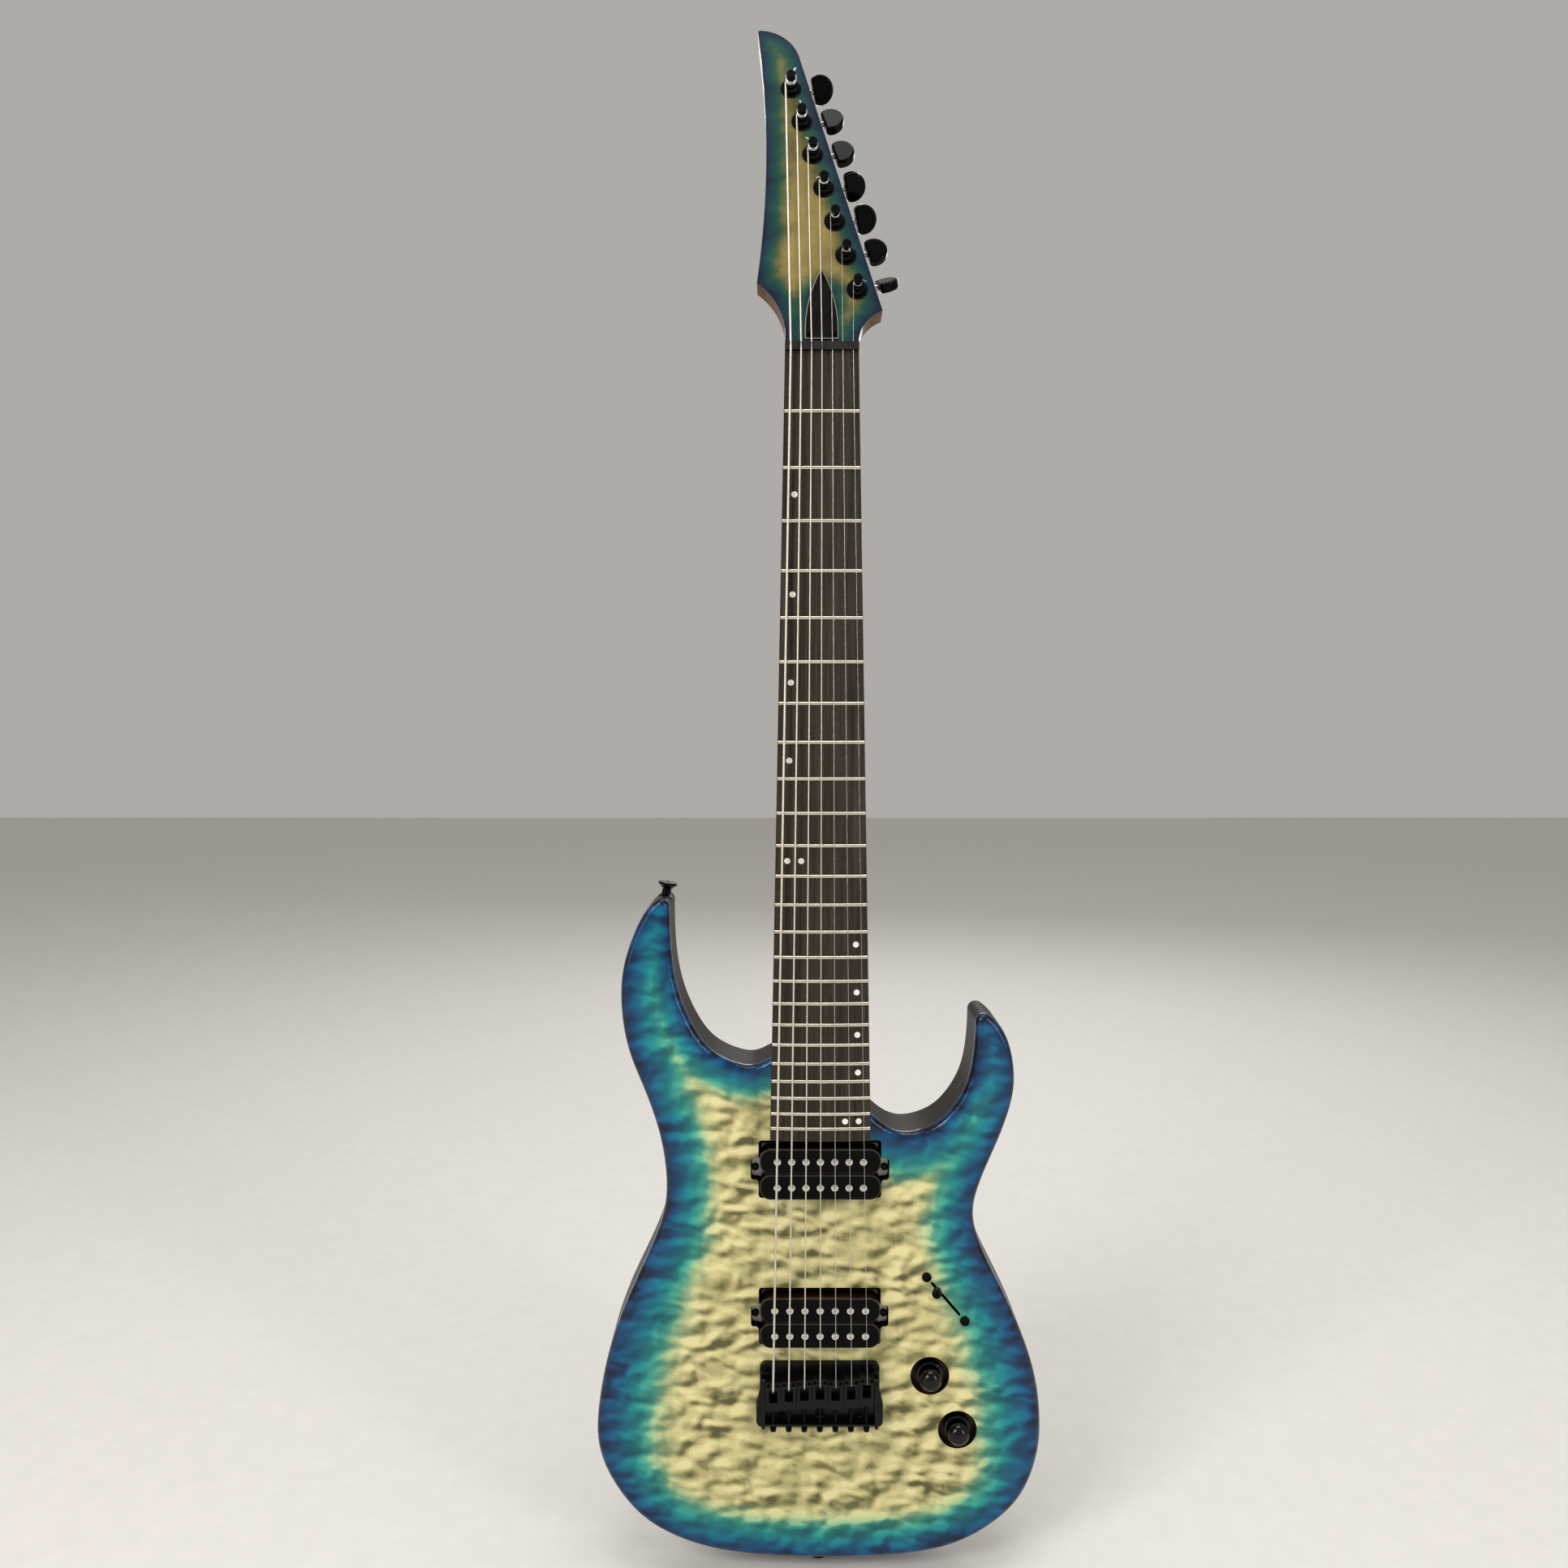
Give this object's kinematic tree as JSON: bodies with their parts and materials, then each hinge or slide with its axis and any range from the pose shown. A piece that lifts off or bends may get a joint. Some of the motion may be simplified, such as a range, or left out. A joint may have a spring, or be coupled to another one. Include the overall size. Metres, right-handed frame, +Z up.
{
  "type": "electric guitar",
  "caption": "Solid-body electric guitar with a figured colour-burst top, bolted neck, angled headstock with keys in line, fixed bridge, double-coil pickups, knobs and a blade switch.",
  "frame": {"origin": "seat of the strap pin at the end of the body, on the body's mid plane", "axes": "+X towards the treble side, +Y out of the back, +Z up along the neck to the headstock; the face looks along -Y"},
  "size_m": [0.3084, 0.0747, 1.0635],
  "materials": {
    "figured_top": "gloss lacquer over quilted maple, green in the middle and deep blue at the rim",
    "body_wood": "dark translucent lacquer",
    "neck_wood": "dark oiled maple",
    "board_wood": "dark open-grained hardwood, unlacquered",
    "head_veneer": "gloss lacquer over figured maple, olive with a teal rim",
    "marker_inlay": "pale inlay",
    "fret_wire": "polished nickel silver",
    "black_composite": "black composite",
    "black_gloss": "black gloss",
    "black_hardware": "black plated",
    "knob_black": "black gloss",
    "bright_steel": "nickel plated",
    "wound_wire": "round-wound nickel",
    "plain_wire": "plain steel",
    "coil_wire": "enamelled copper wire",
    "magnet_ceramic": "ceramic magnet",
    "steel_plate": "plain",
    "cover_plastic": "satin black"
  },
  "bodies": {
    "guitar": {"body_top": "figured_top", "body_core": "body_wood", "neck": "neck_wood", "fingerboard": "board_wood", "fret_markers": "marker_inlay", "frets": "fret_wire", "nut": "black_composite", "headstock_face": "head_veneer", "truss_rod": "steel_plate", "truss_rod_cover": "cover_plastic", "tuner_housings": "black_hardware", "tuner_bushings": "black_hardware", "wound_strings": "wound_wire", "plain_strings": "plain_wire", "string_ferrules": "black_hardware", "neck_pickup_bobbins": "black_gloss", "bridge_pickup_bobbins": "black_gloss", "pickup_coils": "coil_wire", "pole_screws": "bright_steel", "pickup_magnets": "magnet_ceramic", "pickup_baseplates": "steel_plate", "pickup_mount_screws": "black_hardware", "pickup_springs": "steel_plate", "bridge_base": "black_hardware", "bridge_screws": "black_hardware", "intonation_screws": "black_hardware", "pots": "steel_plate", "switch_frame": "steel_plate", "switch_screws": "black_hardware", "control_cover": "cover_plastic", "jack_socket": "black_hardware", "wood_screws": "black_hardware", "neck_ferrules": "black_hardware", "neck_bolts": "black_hardware", "strap_buttons": "black_hardware", "strap_button_screws": "black_hardware"},
    "key_1": {"tuner_key_1": "bright_steel"},
    "post_1": {"tuner_post_1": "black_hardware"},
    "key_2": {"tuner_key_2": "bright_steel"},
    "post_2": {"tuner_post_2": "black_hardware"},
    "key_3": {"tuner_key_3": "bright_steel"},
    "post_3": {"tuner_post_3": "black_hardware"},
    "key_4": {"tuner_key_4": "bright_steel"},
    "post_4": {"tuner_post_4": "black_hardware"},
    "key_5": {"tuner_key_5": "bright_steel"},
    "post_5": {"tuner_post_5": "black_hardware"},
    "key_6": {"tuner_key_6": "bright_steel"},
    "post_6": {"tuner_post_6": "black_hardware"},
    "key_7": {"tuner_key_7": "bright_steel"},
    "post_7": {"tuner_post_7": "black_hardware"},
    "string_saddle_1": {"saddle_1": "black_hardware"},
    "string_saddle_2": {"saddle_2": "black_hardware"},
    "string_saddle_3": {"saddle_3": "black_hardware"},
    "string_saddle_4": {"saddle_4": "black_hardware"},
    "string_saddle_5": {"saddle_5": "black_hardware"},
    "string_saddle_6": {"saddle_6": "black_hardware"},
    "string_saddle_7": {"saddle_7": "black_hardware"},
    "volume": {"volume_knob": "knob_black"},
    "tone": {"tone_knob": "knob_black"},
    "pickup_switch": {"switch_lever": "steel_plate"}
  },
  "joints": [
    {"name": "key_1_turn", "type": "hinge", "parent": "guitar", "child": "key_1", "pos_m": [-0.0223, 0.0287, 1.01398], "axis": [0.9578, 0.0548, 0.2821], "continuous": true},
    {"name": "post_1_turn", "type": "hinge", "parent": "guitar", "child": "post_1", "pos_m": [-0.01996, 0.00797, 1.01007], "axis": [0, -0.9816, 0.1908], "continuous": true},
    {"name": "key_2_turn", "type": "hinge", "parent": "guitar", "child": "key_2", "pos_m": [-0.01507, 0.0241, 0.99033], "axis": [0.9578, 0.0548, 0.2821], "continuous": true},
    {"name": "post_2_turn", "type": "hinge", "parent": "guitar", "child": "post_2", "pos_m": [-0.01274, 0.00338, 0.98642], "axis": [0, -0.9816, 0.1908], "continuous": true},
    {"name": "key_3_turn", "type": "hinge", "parent": "guitar", "child": "key_3", "pos_m": [-0.00784, 0.01951, 0.96668], "axis": [0.9578, 0.0548, 0.2821], "continuous": true},
    {"name": "post_3_turn", "type": "hinge", "parent": "guitar", "child": "post_3", "pos_m": [-0.00551, -0.00122, 0.96278], "axis": [0, -0.9816, 0.1908], "continuous": true},
    {"name": "key_4_turn", "type": "hinge", "parent": "guitar", "child": "key_4", "pos_m": [-0.00062, 0.01491, 0.94304], "axis": [0.9578, 0.0548, 0.2821], "continuous": true},
    {"name": "post_4_turn", "type": "hinge", "parent": "guitar", "child": "post_4", "pos_m": [0.00172, -0.00582, 0.93913], "axis": [0, -0.9816, 0.1908], "continuous": true},
    {"name": "key_5_turn", "type": "hinge", "parent": "guitar", "child": "key_5", "pos_m": [0.00661, 0.01031, 0.91939], "axis": [0.9578, 0.0548, 0.2821], "continuous": true},
    {"name": "post_5_turn", "type": "hinge", "parent": "guitar", "child": "post_5", "pos_m": [0.00895, -0.01041, 0.91548], "axis": [0, -0.9816, 0.1908], "continuous": true},
    {"name": "key_6_turn", "type": "hinge", "parent": "guitar", "child": "key_6", "pos_m": [0.01384, 0.00572, 0.89574], "axis": [0.9578, 0.0548, 0.2821], "continuous": true},
    {"name": "post_6_turn", "type": "hinge", "parent": "guitar", "child": "post_6", "pos_m": [0.01617, -0.01501, 0.89184], "axis": [0, -0.9816, 0.1908], "continuous": true},
    {"name": "key_7_turn", "type": "hinge", "parent": "guitar", "child": "key_7", "pos_m": [0.02106, 0.00112, 0.8721], "axis": [0.9578, 0.0548, 0.2821], "continuous": true},
    {"name": "post_7_turn", "type": "hinge", "parent": "guitar", "child": "post_7", "pos_m": [0.0234, -0.0196, 0.86819], "axis": [0, -0.9816, 0.1908], "continuous": true},
    {"name": "saddle_1_slide", "type": "slide", "parent": "guitar", "child": "string_saddle_1", "axis": [0, 0, 1], "range_m": [0, 0.004]},
    {"name": "saddle_2_slide", "type": "slide", "parent": "guitar", "child": "string_saddle_2", "axis": [0, 0, 1], "range_m": [0, 0.004]},
    {"name": "saddle_3_slide", "type": "slide", "parent": "guitar", "child": "string_saddle_3", "axis": [0, 0, 1], "range_m": [0, 0.004]},
    {"name": "saddle_4_slide", "type": "slide", "parent": "guitar", "child": "string_saddle_4", "axis": [0, 0, 1], "range_m": [0, 0.004]},
    {"name": "saddle_5_slide", "type": "slide", "parent": "guitar", "child": "string_saddle_5", "axis": [0, 0, 1], "range_m": [0, 0.004]},
    {"name": "saddle_6_slide", "type": "slide", "parent": "guitar", "child": "string_saddle_6", "axis": [0, 0, 1], "range_m": [0, 0.004]},
    {"name": "saddle_7_slide", "type": "slide", "parent": "guitar", "child": "string_saddle_7", "axis": [0, 0, 1], "range_m": [0, 0.004]},
    {"name": "volume_turn", "type": "hinge", "parent": "guitar", "child": "volume", "pos_m": [0.0763, -0.022, 0.1328], "axis": [0, 1, 0], "range_deg": [-300, 0]},
    {"name": "tone_turn", "type": "hinge", "parent": "guitar", "child": "tone", "pos_m": [0.0957, -0.022, 0.0942], "axis": [0, 1, 0], "range_deg": [-300, 0]},
    {"name": "switch_throw", "type": "hinge", "parent": "guitar", "child": "pickup_switch", "pos_m": [0.0868, 0.002, 0.18765], "axis": [0.7604, 0, 0.6494], "range_deg": [0, 37.4]}
  ],
  "couplings": [
    {"joint": "post_1_turn", "follows": "key_1_turn", "ratio": 0.055556},
    {"joint": "post_2_turn", "follows": "key_2_turn", "ratio": 0.055556},
    {"joint": "post_3_turn", "follows": "key_3_turn", "ratio": 0.055556},
    {"joint": "post_4_turn", "follows": "key_4_turn", "ratio": 0.055556},
    {"joint": "post_5_turn", "follows": "key_5_turn", "ratio": 0.055556},
    {"joint": "post_6_turn", "follows": "key_6_turn", "ratio": 0.055556},
    {"joint": "post_7_turn", "follows": "key_7_turn", "ratio": 0.055556}
  ]
}
